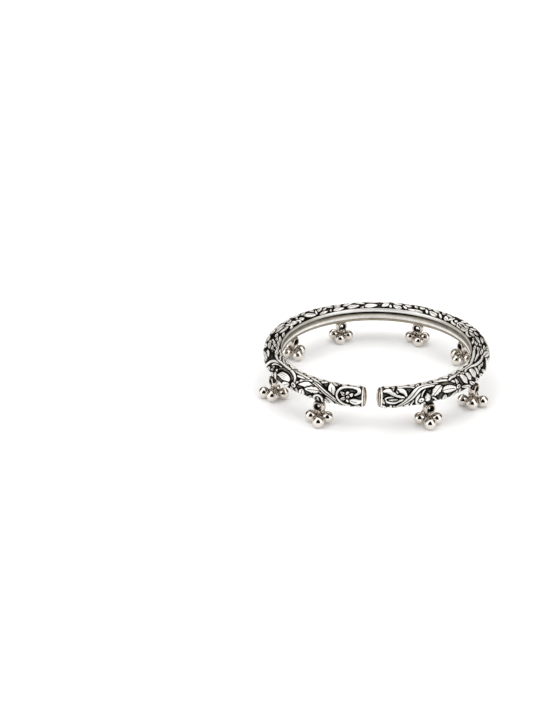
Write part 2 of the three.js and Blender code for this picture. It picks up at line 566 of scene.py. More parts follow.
def leaf(chart, kind, base, tip, width, bend=0.0):
    base, tip = np.array(base), np.array(tip)
    length = np.hypot(*(tip - base))
    sideways = np.array([base[1] - tip[1], tip[0] - base[0]]) / length
    share = np.linspace(0, 1, max(12, int(length / relief["pathStep"])))[:, None]
    path = base + (tip - base) * share + sideways * bend * 4 * share * (1 - share)
    area = chart.window(path, width)
    if area is None:
        return
    distance, side, near = chart.measure(path, area)
    half = leafHalves(kind, width, share[:, 0])[near] + relief["swell"]
    outwards = np.clip(distance / half, 0, 1)
    run, share = runAlong(path)[near], share[near, 0]
    height = -relief["edgeDrop"] * outwards**2
    patina = relief["edgePatina"] * outwards**5
    if kind in ("veined", "lobed"):
        fade = ramp(share, 0.9, -0.15)
        height, patina = cutLines("rib", side, height, patina, fade)
        slanted = run - veinSlant * np.abs(side)
        height, patina = cutLines("veins", slanted, height, patina, ramp(outwards, 0.22, 0.3), fade)
    if kind == "fan":
        fades = ramp(share, 0, 0.1), ramp(share, 0.8, -0.2)
        height, patina = cutLines("fanRibs", side / half, height, patina, *fades)
    if kind == "plain":
        fades = ramp(share, 0.62, -0.1), ramp(share, 0, 0.1)
        height, patina = cutLines("plainRib", side, height, patina, *fades)
    chart.lay(area, distance, half, height, patina)


def button(chart, centre, radius, hole=0.0):
    area = chart.window(np.array([centre]), radius)
    if area is None:
        return
    distance = np.hypot(*chart.spots(area, centre))
    outwards = np.clip(distance / radius, 0, 1)
    height = -boss["drop"] * outwards**2.5
    patina = boss["patina"] * outwards**4
    if hole:
        pit = np.clip((hole - distance) / relief["step"] + 0.5, 0, 1)
        height = height - boss["holeDepth"] * pit
        patina = np.maximum(patina, pit)
    chart.lay(area, distance, radius, height, patina)


def flower(chart, centre, radius, petals, turn):
    width = radius * blossom["petalReach"] * np.sin(np.pi / petals) * blossom["petalWidth"]
    for number in range(petals):
        angle = 2 * np.pi * number / petals + turn
        outwards = np.array([np.cos(angle), np.sin(angle)])
        base = centre + blossom["petalFrom"] * radius * outwards
        leaf(chart, "petal", base, centre + radius * outwards, width)
    button(chart, centre, radius * blossom["heart"], radius * blossom["heart"] * blossom["hole"])


# The ornament's shapes, each over the ones before it. A place is along and across. What a row holds:
# leaf: kind (plain if none is named), base, tip, half its width, bend to the left if it isn't straight
# stem: kind, half its widths from start to end, its points
# button: centre, radius, radius of its hole. flower: centre, radius, petals, turn
stemKinds = ("band", "split", "hatched")
rightArm = [
    (4.3, -3.9, 3.1, -1.5, 0.55, 0.1), (5.9, -4.0, 5.2, -1.5, 0.5), (7.4, -4.2, 6.2, -1.9, 0.42),
    ("band", (0.12, 0.13, 0.14, 0.18, 0.24, 0.34, 0.46, 0.34, 0.2),
     (8.4, 0.6), (7.0, 0.85), (5.6, 1.25), (4.3, 1.2), (3.7, 0.7), (4.0, 0.0), (5.0, -0.5), (6.3, -0.5),
     (7.4, -0.12), (8.9, 0.25)),
    (7.2, 0.42, 4.6, 0.42, 0.26, 0.05), (2.95, 0.75, 3.5, -0.85, 0.26, -0.1),
    ("band", (0.4, 0.85, 0.82, 0.42, 0.3, 0.2),
     (3.5, 3.3), (4.5, 3.45), (5.5, 3.0), (6.5, 2.1), (7.8, 1.35), (9.5, 0.95)),
    (6.3, 3.2, 6.3, 4.6, 0.28),
    ("band", (0.2, 0.42, 0.72, 0.8, 0.5), (9.8, 1.2), (9.45, 2.2), (8.9, 3.0), (8.0, 3.5), (7.2, 3.3)),
    (7.0, 3.4, 7.3, 2.3, 0.22),
    ("band", (0.2, 0.36, 0.26), (7.8, 4.75), (9.8, 4.95), (11.4, 4.5), (13.0, 3.65)),
    (13.3, 3.9, 14.7, 5.6, 0.5), (18.6, 4.3, 15.4, 5.1, 0.35),
    ("band", (0.25, 0.48, 0.5), (11.6, 0.3), (10.5, -0.9), (9.9, -2.2), (9.8, -4.4)),
    ("band", (0.12, 0.24, 0.24), (12.1, 0.0), (11.5, -1.2), (11.3, -2.6), (11.6, -4.2)),
    ("band", (0.3, 0.4, 0.42, 0.34),
     (17.6, 3.2), (15.6, 2.8), (13.8, 1.6), (12.9, 0.1), (13.0, -1.4), (13.8, -2.8), (15.0, -4.2)),
    ("band", (0.1, 0.2, 0.16), (15.6, 2.5), (14.6, 1.5), (14.3, 0.4)),
    ("fan", 16.1, 1.2, 16.4, -1.5, 0.95),
    ("band", (0.2, 0.3, 0.22), (14.9, -1.2), (15.5, -2.3), (16.4, -3.8)),
    ("button", 14.3, -0.8, 0.9, 0.24),
    ("split", (0.3, 0.5, 0.76, 0.82, 0.7, 0.55, 0.36),
     (6.2, -3.6), (8.0, -1.9), (9.6, -0.5), (11.2, 0.9), (12.6, 2.3), (14.1, 3.35), (16.0, 3.8), (18.3, 3.7),
     (20.4, 3.35), (21.8, 2.9)),
    ("hatched", (0.22, 0.34, 0.34, 0.2), (20.6, 3.0), (22.5, 3.0), (24.4, 2.45), (26.0, 1.5), (27.0, 0.7)),
    ("band", (0.3, 0.42, 0.4, 0.25), (19.9, 4.75), (21.6, 4.6), (23.4, 4.15), (25.0, 3.4), (26.6, 2.2)),
    ("lobed", 21.3, 2.6, 17.5, -0.5, 1.25, -0.4),
    ("band", (0.2, 0.26, 0.26), (17.8, -0.4), (18.8, -1.2), (19.6, -2.5), (20.5, -4.2)),
    ("veined", 21.1, 1.0, 26.7, 0.1, 1.2, 0.3), (22.1, -0.7, 22.5, -4.4, 0.75, 0.2),
    (26.5, -0.9, 24.7, -4.2, 0.8, 0.2), (27.0, -0.1, 26.5, -3.4, 0.32),
    (27.9, 0.0, 28.9, -3.2, 0.4), (27.3, 1.2, 26.9, 3.3, 0.42), ("button", 27.45, 0.5, 0.75, 0.34),
    ("band", (0.3, 0.45, 0.4, 0.2), (24.8, 3.7), (26.3, 4.4), (28.0, 4.5), (29.8, 4.9)),
    (32.4, 4.2, 28.6, 4.1, 0.35, 0.2), ("fan", 31.2, 0.3, 29.8, 3.9, 0.95, 0.1),
    ("fan", 33.1, 0.4, 32.3, 3.8, 0.75), ("fan", 35.6, 0.5, 34.9, 4.0, 1.15),
    (37.6, 0.8, 37.4, 3.4, 0.5), (28.9, -0.1, 35.8, -3.1, 0.55, 0.15),
    (32.6, 0.4, 38.0, -3.2, 0.55, -0.3), (36.0, 0.2, 40.2, -2.9, 0.5, -0.2),
    (38.2, 0.4, 42.6, -2.6, 0.55, 0.1), (40.4, 1.1, 43.6, -1.2, 0.42), (38.6, 1.7, 40.4, 3.1, 0.42),
    (40.6, 2.2, 43.6, 3.2, 0.5, 0.1),
    ("band", (0.25, 0.45, 0.45, 0.4, 0.3),
     (32.6, 4.1), (34.6, 4.9), (36.6, 4.7), (38.6, 4.0), (41.0, 3.7), (43.6, 3.6), (46.0, 3.9)),
    ("band", (0.15, 0.3, 0.45, 0.45, 0.4),
     (33.6, 5.6), (36.5, 5.5), (39.0, 5.6), (41.0, 6.1), (43.5, 6.5), (46.0, 6.9), (49.0, 7.3), (51.0, 7.4)),
    ("band", (0.2, 0.34, 0.34, 0.25), (42.4, 5.3), (45.0, 5.5), (48.0, 5.6), (50.6, 5.9)),
    ("petal", 46.6, 2.6, 45.4, -1.9, 1.15, -0.2), ("veined", 46.2, 3.4, 52.4, 1.4, 0.95, 0.35),
    (48.0, 1.6, 49.4, -2.0, 0.8, 0.1), (46.8, 4.7, 51.4, 4.5, 0.42, 0.1),
]
leftArm = [
    (-4.6, -1.9, -2.7, -3.9, 0.6), (-6.2, -2.9, -5.2, -4.8, 0.5), (-8.4, -2.4, -6.8, -4.4, 0.5),
    ("lobed", -7.2, 1.0, -9.0, 2.2, 0.55), ("petal", -6.9, 1.1, -6.9, 2.6, 0.5),
    ("petal", -6.4, 1.0, -5.4, 2.1, 0.45), ("lobed", -7.3, 0.5, -8.9, -0.3, 0.5),
    ("petal", -6.8, 0.3, -6.8, -0.8, 0.42), ("button", -6.8, 0.85, 0.42, 0.16),
    (-6.2, -0.1, -2.7, 0.2, 0.95, -0.6), (-9.9, 0.3, -10.9, 4.0, 0.34),
    (-11.0, 0.1, -12.7, 5.3, 0.98, -0.1), (-10.3, 4.2, -12.2, 5.6, 0.42),
    (-16.0, 4.1, -13.8, 5.2, 0.45),
    ("band", (0.3, 0.4, 0.4, 0.3, 0.2),
     (-19.4, 5.1), (-17.6, 4.4), (-16.0, 3.4), (-14.1, 2.1), (-12.2, 0.9), (-10.4, -0.3), (-9.4, -1.1)),
    ("smooth", -16.8, 2.0, -22.4, 1.1, 1.15, -0.65),
    ("band", (0.14, 0.28, 0.34, 0.3, 0.3),
     (-17.0, 0.2), (-15.6, 0.75), (-14.2, 0.7), (-12.8, 0.1), (-11.2, -0.9), (-9.9, -2.1), (-9.0, -3.8)),
    ("split", (0.3, 0.5, 0.52, 0.42, 0.36),
     (-18.8, 3.5), (-17.0, 3.05), (-15.3, 2.2), (-13.6, 1.2), (-12.0, 0.3), (-10.4, -0.8), (-9.0, -2.0),
     (-8.0, -3.6)),
    ("band", (0.2, 0.5, 0.56, 0.54, 0.46, 0.34, 0.24, 0.24, 0.34, 0.4),
     (-4.75, 1.7), (-3.7, 2.6), (-4.0, 3.8), (-5.4, 4.45), (-7.4, 4.35), (-9.0, 3.5), (-9.9, 2.0),
     (-9.95, 0.6), (-9.25, -0.7), (-8.2, -1.7), (-6.4, -2.5)),
    ("lobed", -15.2, 1.15, -20.0, 0.4, 1.05, -0.1),
    ("band", (0.2, 0.4, 0.36, 0.3), (-22.6, 1.9), (-21.3, 3.1), (-19.7, 3.7), (-18.6, 3.6)),
    ("band", (0.25, 0.3, 0.3), (-24.3, 3.5), (-22.8, 3.6), (-21.2, 3.7)),
    ("band", (0.25, 0.34, 0.3), (-26.4, 5.0), (-24.0, 4.9), (-21.8, 4.6), (-20.0, 4.2)),
    (-24.2, 0.9, -22.6, 1.9, 0.35), (-23.6, -0.3, -22.7, -2.6, 0.36),
    (-24.8, -0.4, -26.2, -3.4, 0.42), ("button", -24.35, 0.15, 0.85, 0.36),
    (-20.8, 0.0, -22.3, -4.0, 0.95),
    ("band", (0.3, 0.32, 0.3, 0.3),
     (-17.4, -4.2), (-17.2, -2.0), (-16.4, -0.8), (-15.3, -0.45), (-14.5, -1.2), (-14.6, -2.5),
     (-14.9, -4.2)),
    ("band", (0.16, 0.2), (-15.85, -1.35), (-15.8, -2.6), (-16.0, -4.2)),
    (-18.1, -1.4, -19.4, -4.2, 0.48), (-13.2, -0.5, -10.9, -2.7, 0.5, 0.1),
    (-13.4, -1.2, -12.6, -4.2, 0.45),
    ("hatched", (0.2, 0.34, 0.34, 0.2),
     (-25.0, 1.7), (-26.1, 2.9), (-27.8, 3.5), (-29.6, 3.5), (-31.2, 3.1), (-32.0, 2.4)),
    ("band", (0.45, 0.45, 0.4, 0.22), (-29.6, 4.6), (-27.2, 4.3), (-25.3, 3.4), (-24.3, 2.5), (-24.0, 1.4)),
    ("fan", -31.7, 0.55, -25.9, 1.0, 1.2, 0.5), (-26.2, -0.2, -30.8, -3.6, 0.9, -0.2),
    (-33.0, 0.9, -33.7, -2.4, 0.55), ("button", -32.8, 1.65, 0.4), (-34.5, 1.9, -36.1, 1.4, 0.35),
    (-34.7, 1.0, -36.1, 0.3, 0.3), (-34.8, -0.3, -37.6, -3.3, 0.7), (-37.2, 0.6, -40.2, -2.6, 0.6),
    ("band", (0.25, 0.35, 0.25), (-31.9, 3.5), (-33.6, 3.6), (-35.1, 2.9), (-36.0, 2.1)),
    ("band", (0.3, 0.45, 0.45, 0.36),
     (-32.3, 4.3), (-34.5, 4.2), (-36.3, 3.5), (-37.8, 2.4), (-38.9, 1.1), (-40.4, -0.4), (-42.2, -2.0)),
    ("band", (0.45, 0.45, 0.4, 0.36, 0.3),
     (-28.6, 4.6), (-31.0, 4.8), (-33.5, 4.9), (-36.0, 4.8), (-38.5, 5.0), (-41.0, 5.4), (-43.5, 5.6),
     (-45.6, 5.4)),
    ("petal", -41.0, 2.7, -44.7, 3.4, 0.65, 0.2), ("veined", -40.8, 1.3, -47.2, 1.2, 1.0),
    (-42.6, 0.0, -46.0, -2.4, 0.6), (-40.4, 5.5, -44.6, 6.3, 0.6, -0.2),
    ("band", (0.2, 0.32, 0.2), (-40.2, 7.2), (-38.6, 6.3), (-36.3, 5.5)),
    ("band", (0.2, 0.28, 0.16), (-37.0, 6.9), (-35.2, 6.2), (-33.2, 5.7)),
    (-44.2, 4.9, -48.0, 5.1, 0.42), (-44.6, 6.8, -51.0, 7.1, 0.55, 0.1),
    (-47.0, 6.1, -51.4, 5.9, 0.5), (-45.6, 4.0, -51.4, 4.3, 0.5), (-47.8, 2.9, -51.6, 1.8, 0.8),
]
rightBack = [
    (49.6, 5.6, 53.0, 6.4, 0.4), (51.0, 7.6, 54.7, 7.0, 0.4, -0.1), (50.6, 3.9, 54.0, 4.2, 0.42),
    (53.4, 5.0, 55.6, 5.9, 0.3), ("veined", 60.9, 6.9, 54.4, 6.5, 0.72, 0.2),
    (59.2, 7.1, 56.6, 7.95, 0.42), (61.4, 5.9, 55.4, 5.5, 0.42, 0.1), (60.4, 4.3, 55.6, 4.5, 0.4),
    (62.4, 7.0, 63.2, 8.0, 0.34),
    ("band", (0.3, 0.38, 0.4, 0.34, 0.24), (63.6, 7.95), (65.6, 7.8), (66.7, 7.1), (66.8, 6.2), (65.6, 5.8)),
    (61.8, 6.2, 65.5, 6.7, 0.4), (61.9, 4.9, 65.0, 5.3, 0.34),
    ("veined", 66.9, 6.8, 72.0, 7.6, 0.85, 0.1), (68.3, 5.8, 71.0, 6.2, 0.4),
    (65.9, 4.0, 68.0, 5.5, 0.5),
    ("band", (0.3, 0.4, 0.4, 0.3, 0.24), (71.2, 8.0), (73.0, 7.6), (74.0, 6.7), (73.2, 5.8), (71.2, 5.8)),
    (71.3, 6.9, 73.2, 6.8, 0.3), (69.4, 3.9, 71.6, 5.2, 0.55), (72.6, 3.9, 74.4, 5.1, 0.5),
    ("band", (0.25, 0.36, 0.34, 0.25), (74.3, 7.7), (76.2, 7.6), (77.3, 6.8), (77.6, 5.9)),
    ("smooth", 75.0, 6.5, 76.4, 6.0, 0.55), (77.5, 5.2, 78.9, 7.7, 0.6),
    (79.2, 7.9, 81.2, 6.0, 0.75), (78.6, 5.4, 81.6, 5.0, 0.42),
    ("smooth", 81.8, 7.8, 84.3, 5.8, 0.42), (82.2, 5.5, 84.0, 4.1, 0.5),
    ("veined", 84.1, 7.4, 88.1, 6.2, 0.95, 0.2), (84.6, 5.3, 87.6, 4.6, 0.55),
    ("smooth", 88.3, 7.5, 89.8, 5.7, 0.45), (88.2, 4.9, 89.8, 4.2, 0.45),
    (90.2, 7.6, 96.4, 7.4, 0.6, 0.1), (90.2, 5.5, 92.4, 5.5, 0.55), (93.0, 6.0, 94.6, 4.6, 0.45),
    (95.3, 5.9, 97.9, 5.3, 0.6), ("smooth", 96.6, 7.4, 98.5, 5.9, 0.4),
    ("veined", 98.6, 7.7, 102.0, 6.2, 0.9, 0.1), (98.9, 5.2, 102.0, 5.0, 0.55),
    ("smooth", 102.7, 7.6, 103.3, 6.0, 0.45), (103.6, 5.3, 106.2, 7.3, 0.95, -0.1),
    (103.6, 4.2, 106.6, 4.6, 0.45),
]
leftBack = [
    (-49.2, 7.6, -51.6, 6.9, 0.4), (-49.0, 5.7, -51.4, 5.7, 0.4), (-49.6, 4.5, -51.4, 4.4, 0.42),
    ("button", -52.0, 5.2, 0.42), (-52.2, 6.3, -54.9, 6.6, 0.4),
    (-53.0, 8.0, -56.2, 7.0, 0.42, 0.1), (-54.6, 5.8, -57.8, 5.7, 0.42),
    (-51.8, 3.4, -56.0, 3.4, 0.5), (-57.0, 8.1, -60.6, 7.2, 0.45),
    ("veined", -58.6, 6.0, -65.2, 6.9, 0.85, 0.15), (-58.2, 4.9, -64.3, 5.7, 0.5, 0.1),
    (-57.0, 3.6, -60.6, 4.0, 0.55), (-61.2, 4.0, -66.0, 5.0, 0.5),
    ("band", (0.3, 0.4, 0.42, 0.3), (-65.2, 7.9), (-66.6, 7.7), (-66.5, 6.6), (-65.6, 5.9)),
    (-66.9, 6.5, -71.2, 7.2, 0.85, 0.15), (-67.2, 5.5, -70.0, 5.2, 0.42),
    (-66.4, 4.0, -70.6, 4.3, 0.5),
    ("band", (0.3, 0.42, 0.3), (-71.6, 8.0), (-72.3, 7.6), (-71.9, 6.9), (-71.3, 6.8)),
    (-72.2, 6.3, -73.0, 5.0, 0.38), (-72.9, 6.7, -75.0, 7.1, 0.72), (-71.6, 4.0, -75.4, 4.6, 0.5),
    ("veined", -76.0, 5.9, -80.7, 7.5, 1.0, 0.1), (-75.6, 5.1, -78.2, 4.4, 0.4),
    (-80.3, 4.1, -81.6, 5.9, 0.45), ("smooth", -81.2, 7.4, -82.2, 5.2, 0.32),
    (-82.4, 7.8, -86.3, 7.2, 0.5), (-82.6, 6.1, -85.4, 4.6, 0.55), (-84.8, 6.2, -86.8, 5.4, 0.34),
    (-87.3, 7.8, -87.9, 6.6, 0.3), (-86.7, 4.2, -89.2, 5.6, 0.5),
    (-88.6, 7.6, -93.2, 7.1, 0.72, 0.1), (-89.8, 5.6, -92.0, 6.3, 0.4),
    (-90.2, 4.4, -92.8, 4.9, 0.5), (-93.2, 5.9, -97.4, 4.4, 0.6),
    ("veined", -94.4, 7.2, -99.2, 6.6, 0.85, 0.15), (-98.2, 4.3, -101.4, 5.6, 0.55),
    (-99.4, 7.9, -101.0, 7.2, 0.3), (-101.2, 7.2, -106.0, 6.6, 1.0, 0.2),
    (-102.2, 4.3, -106.6, 4.5, 0.5),
]
# Between the ends of the two drawn arms and the turned ones behind them
between = [
    ("band", (0.3, 0.45, 0.5, 0.45, 0.3),
     (45.0, -4.2), (48.5, -3.3), (51.5, -1.6), (54.0, 0.4), (56.6, 2.2), (59.5, 3.2), (62.5, 3.4)),
    ("veined", 51.4, -1.3, 48.7, 1.0, 0.8, 0.2), ("flower", 53.0, 2.4, 1.35, 5, 0.3),
    (49.4, -2.6, 46.4, -1.6, 0.55, 0.1), ("lobed", 53.0, -0.7, 57.4, -3.4, 1.1, 0.2),
    (55.3, 0.9, 60.0, -1.0, 0.85, -0.2), (50.2, -2.9, 53.2, -4.3, 0.55, 0.1),
    (57.6, 2.4, 62.0, 1.0, 0.6, -0.1), (58.2, -3.9, 61.4, -2.3, 0.6),
    ("flower", 106.9, -0.9, 2.7, 8, 0.3927), ("veined", 104.2, 1.2, 106.3, 3.6, 0.6),
    (103.0, -3.9, 106.2, -4.1, 0.5), (101.4, -1.6, 103.6, -2.9, 0.5),
]

# Drawn again and again: a wave with leaves on the underside, and small leaves under the front's upper edge
wave = [
    ("veined", 0.2, -4.9, 3.8, -6.9, 0.85, -0.3), (2.2, -4.6, 5.0, -4.9, 0.5, 0.2),
    ("band", (0.2, 0.34, 0.34, 0.2), (-1.4, -7.4), (-0.2, -6.6), (0.3, -5.5), (1.2, -4.7)),
]
upperLeaves = [
    (0.0, 7.7, 3.2, 6.1, 0.75, 0.2), (2.5, 7.7, 4.5, 7.1, 0.38), (0.3, 6.2, 1.7, 5.0, 0.45),
    (3.3, 6.0, 2.7, 4.6, 0.42),
]
layout = {
    "back": 106.9, "overlap": 1.5,
    "waveStarts": np.arange(-104.5, 105, 5.5),
    "upperStarts": np.arange(3.4, 50, 4.1),
    # the top of the back is cleared for its own rows
    "clearedFrom": 49, "clearedAbove": 3.3,
}
ground = {
    "slant": (0.94, 0.34), "pitch": 0.45, "sharp": 1.6,
    "clearFrom": (0.5, 0.15),
    "rise": 0.1, "lineDepth": 0.09,
    "patina": 0.61, "linePatina": 0.3,
    # blacker at the sides: where that starts along the skin, where it ends, and what stays at the back
    "blacker": 0.2, "sidesFrom": (30, 15), "sidesTo": (92, -20), "atBack": 0.25,
}
edges = {
    "upper": 8.1, "upperRise": 0.3, "lower": -7.35,
    "line": 0.3, "lineAtBack": 0.45,
    # painted shade on the rims: on the upper rim it grows towards the sides, and on the underside rim it is
    # mid dark
    "upperPaintedShade": 0.32, "lowerPaintedShade": 0.45,
    "sidesTo": (95, -20),
}


def asDrawn(along):
    return along


def drawRows(chart, rows, place):  # the place is where a row's way along the skin ends up on the chart
    flip = 1 if place(1) > place(0) else -1
    for row in rows:
        kind, *numbers = row if isinstance(row[0], str) else ("plain", *row)
        if kind in stemKinds:
            halves, *points = numbers
            stem(chart, kind, halves, [(place(along), across) for along, across in points])
            continue
        centre = place(numbers[0]), numbers[1]
        if kind == "button":
            button(chart, centre, *numbers[2:])
        elif kind == "flower":
            flower(chart, centre, *numbers[2:])
        else:
            tip = place(numbers[2]), numbers[3]
            bend = flip * numbers[5] if len(numbers) > 5 else 0.0
            leaf(chart, kind, centre, tip, numbers[4], bend)


def drawShapes(chart):
    drawRows(chart, between, asDrawn)
    drawRows(chart, between, lambda along: -along)
    drawRows(chart, rightArm, lambda along: layout["back"] - along + layout["overlap"])
    drawRows(chart, leftArm, lambda along: -layout["back"] - along - layout["overlap"])
    for start in layout["waveStarts"]:
        drawRows(chart, wave, lambda along: start + along)
    along, across = chart.spots()
    cleared = (np.abs(along) > layout["clearedFrom"]) & (across > layout["clearedAbove"])
    chart.height[cleared] = relief["ground"]
    chart.patina[cleared] = 1
    chart.clear[cleared] = relief["farAway"]
    for side in (1, -1):
        for start in layout["upperStarts"]:
            drawRows(chart, upperLeaves, lambda along: side * (start + along))
    for rows in (leftArm, rightArm, rightBack, leftBack):
        drawRows(chart, rows, asDrawn)


def hatchGround(chart):
    along, across = chart.spots()
    slanted = along * ground["slant"][0] + across * ground["slant"][1]
    lines = pulse(slanted / ground["pitch"], ground["sharp"])
    bare = ramp(chart.clear, *ground["clearFrom"])
    chart.height += bare * (ground["rise"] - ground["lineDepth"] * lines)
    way = np.abs(along)
    blacker = ramp(way, *ground["sidesFrom"]) * np.maximum(ramp(way, *ground["sidesTo"]), ground["atBack"])
    tone = ground["patina"] + ground["linePatina"] * lines + ground["blacker"] * blacker
    blend(chart.patina, tone, bare)


def finishEdges(chart):  # a plain rim with a black line inside it, which is thin at the back
    along, across = chart.spots()
    sides = ramp(np.abs(along), *edges["sidesTo"])
    edge = np.minimum(edges["upper"] + edges["upperRise"] * sides - across, across - edges["lower"])
    rim = np.clip(0.5 - edge / relief["step"], 0, 1)
    line = ramp(edge, edges["line"], -relief["step"]) * (1 - rim)
    line = line * np.where(across > 0, edges["lineAtBack"] + (1 - edges["lineAtBack"]) * sides, 1)
    blend(chart.height, relief["outline"], line)
    blend(chart.patina, 1, line)
    blend(chart.height, 0, rim)
    # painted shade: the upper rim is painted darker towards the sides, and the rim on the underside is
    # painted mid dark
    blend(chart.patina, np.where(across < 0, edges["lowerPaintedShade"], edges["upperPaintedShade"] * sides), rim)


# The chased tube, in four lengths that meet at the sides and the back
tube = {
    "alongStep": 0.108, "acrossStep": 0.1,
    "underStep": 0.15, "underBelow": -4.6,
    "lengthsEachSide": 2,
    "rimWide": 0.42, "rimHeight": -0.04, "rimPatina": 0.05,
    "endRounding": 0.8, "endInset": 0.36, "halfDepth": 3.1,
    # the inner band from its upper edge to its lower one: outside, up, patina. The patina is dark in the
    # groove under the upper edge, which is oxide deepened with painted shade. Below that it is painted shade
    # that fades lighter down the band, and there is a painted dark line at its lower edge
    "band": [
        (-3.74, 1.5, 0.05), (-3.72, 1.3, 0.1), (-3.69, 1.13, 0.25), (-3.62, 1.03, 0.62),
        (-3.55, 0.93, 0.86), (-3.49, 0.81, 0.93), (-3.46, 0.67, 0.91), (-3.48, 0.52, 0.84),
        (-3.53, 0.38, 0.7), (-3.59, 0.23, 0.55), (-3.63, 0.08, 0.43), (-3.645, -0.1, 0.34),
        (-3.65, -0.3, 0.26), (-3.65, -0.6, 0.21), (-3.65, -0.9, 0.2), (-3.65, -1.15, 0.22),
        (-3.65, -1.32, 0.25), (-3.63, -1.42, 0.34), (-3.6, -1.5, 0.55), (-3.66, -1.56, 0.66),
    ],
}
# Painted shade on the band: it stays black in one line at the back. Towards the sides its upper half is
# painted brown as a painted dark reflection, it is painted lighter below its middle as a painted highlight,
# and it is kept from turning black
bandPaintedShade = {
    "sidesFrom": (104, -25), "upperHalf": (-0.75, 0.5),
    "brown": 0.53, "topAbove": 1.1, "topBrown": 0.3,
    "paintedLight": 0.13, "paintedLightMiddle": -0.9, "paintedLightHalf": 0.45,
    "notBlack": 0.4,
}

# The domed ends
dome = {
    # how far out of the tube's end, and how wide as a share of the section
    "profile": [
        (-0.3, 0.8), (-0.05, 0.81), (0.0, 0.83), (0.03, 0.865), (0.1, 0.88), (0.24, 0.875), (0.42, 0.85),
        (0.6, 0.79), (0.76, 0.71), (0.9, 0.59), (1.01, 0.45), (1.09, 0.3), (1.14, 0.15), (1.15, 0.03),
    ],
    "middle": -0.665, "flatOut": -3.7,
    "outlineSteps": 42, "flatSteps": 14,
    # painted shade: darkest in the crease where the dome meets the tube, and lighter up the dome
    "shadedRises": (0.0, 0.05, 0.2, 0.45, 0.8),
    "shades": (0.95, 0.8, 0.55, 0.42, 0.36),
    "creaseOver": 50,
}


def chartOf(side):
    lengths = tube["lengthsEachSide"]
    steps = int(round((halfWay - tubeStart) / tube["alongStep"] / lengths)) * lengths
    along = np.linspace(tubeStart, halfWay, steps + 1)
    if side < 0:
        along = -along[::-1]
    under = np.arange(-skinEdge, tube["underBelow"], tube["underStep"])
    restSteps = int((skinEdge - tube["underBelow"]) / tube["acrossStep"])
    rest = np.linspace(tube["underBelow"], skinEdge, restSteps)
    chart = Chart(along, np.concatenate([under, rest]))
    drawShapes(chart)
    hatchGround(chart)
    finishEdges(chart)
    fromEnd = np.abs(chart.along) - tubeStart
    rim = np.clip(0.5 - (fromEnd - tube["rimWide"]) / relief["step"], 0, 1)[:, None]
    blend(chart.height, tube["rimHeight"], rim)
    blend(chart.patina, tube["rimPatina"], rim)
    return chart


# painted shade and a painted highlight on the band, both growing towards the sides
def paintedBandShade(along, up, patina):
    fromBack = ramp(np.abs(along), *bandPaintedShade["sidesFrom"])[:, None]
    browner = fromBack * ramp(up, *bandPaintedShade["upperHalf"])
    atLeast = np.where(up < bandPaintedShade["topAbove"], bandPaintedShade["brown"], bandPaintedShade["topBrown"])
    shade = patina + browner * np.clip(atLeast - patina, 0, 1)
    bright = np.abs(up - bandPaintedShade["paintedLightMiddle"]) < bandPaintedShade["paintedLightHalf"]
    shade = shade - bandPaintedShade["paintedLight"] * fromBack * bright
    return np.minimum(shade, 1 - bandPaintedShade["notBlack"] * fromBack)


def tubeLength(name, along, across, height, patina):
    out, up = skinPoint(across[None, ::-1], height[:, ::-1])
    bandOut, bandUp, bandOxideAndShade = np.array(tube["band"])[::-1].T
    rows = len(along)
    out = np.hstack([out, np.tile(bandOut, (rows, 1)), out[:, :1]])
    up = np.hstack([up, np.tile(bandUp, (rows, 1)), up[:, :1]])
    shade = np.hstack([patina[:, ::-1], paintedBandShade(along, bandUp, bandOxideAndShade), patina[:, -1:]])
    columns = out.shape[1]
    deselectAll()
    bpy.ops.mesh.primitive_grid_add(x_subdivisions=rows - 1, y_subdivisions=columns - 1, size=2)
    piece = addedPiece(name)
    start = vertexPlaces(piece)
    row = np.rint((start[:, 0] + 1) / 2 * (rows - 1)).astype(int)
    column = np.rint((start[:, 1] + 1) / 2 * (columns - 1)).astype(int)
    turn = np.interp(along, way, turns)[:, None]
    rounding = ramp(np.abs(along) - tubeStart, tube["endRounding"], -tube["endRounding"])[:, None]
    rounding = rounding**2 * tube["endInset"]
    out = dome["middle"] + (out - dome["middle"]) * (1 - rounding / tube["halfDepth"])
    up = up * (1 - rounding / cuff["halfHeight"])
    moveVertices(piece, cuffPoint(turn, out, up)[row, column] * mm)
    givePatina(piece, shade[row, column])
    editAll(piece)
    bpy.ops.mesh.remove_doubles(threshold=1e-7)
    bpy.ops.mesh.fill_holes(sides=0)
    bpy.ops.mesh.select_all(action="SELECT")
    bpy.ops.mesh.normals_make_consistent(inside=False)
    bpy.ops.mesh.select_all(action="DESELECT")
    bpy.ops.mesh.select_mode(type="FACE")
    bpy.ops.mesh.select_face_by_sides(number=4, type="GREATER")
    bpy.ops.mesh.region_to_loop()
    bpy.ops.mesh.mark_sharp()
    setMode("OBJECT")
    bpy.ops.object.shade_smooth()
    finishPiece(piece, "cuff", "oxidised_silver")
    print(name, len(piece.data.vertices), "vertices")


for side, sideName in ((1, "right"), (-1, "left")):
    chart = chartOf(side)
    count = (len(chart.along) - 1) // tube["lengthsEachSide"]
    for number in range(tube["lengthsEachSide"]):
        cut = slice(number * count, (number + 1) * count + 1)
        name = f"tube_{sideName}_{'front' if (number == 0) == (side > 0) else 'back'}"
        tubeLength(name, chart.along[cut], chart.across, chart.height[cut], chart.patina[cut])


def extrudeUp(rise, share, centre):
    bpy.ops.mesh.extrude_region_move(TRANSFORM_OT_translate={"value": (0, 0, rise)})
    bpy.ops.transform.resize(value=(share, share, 1), center_override=centre)


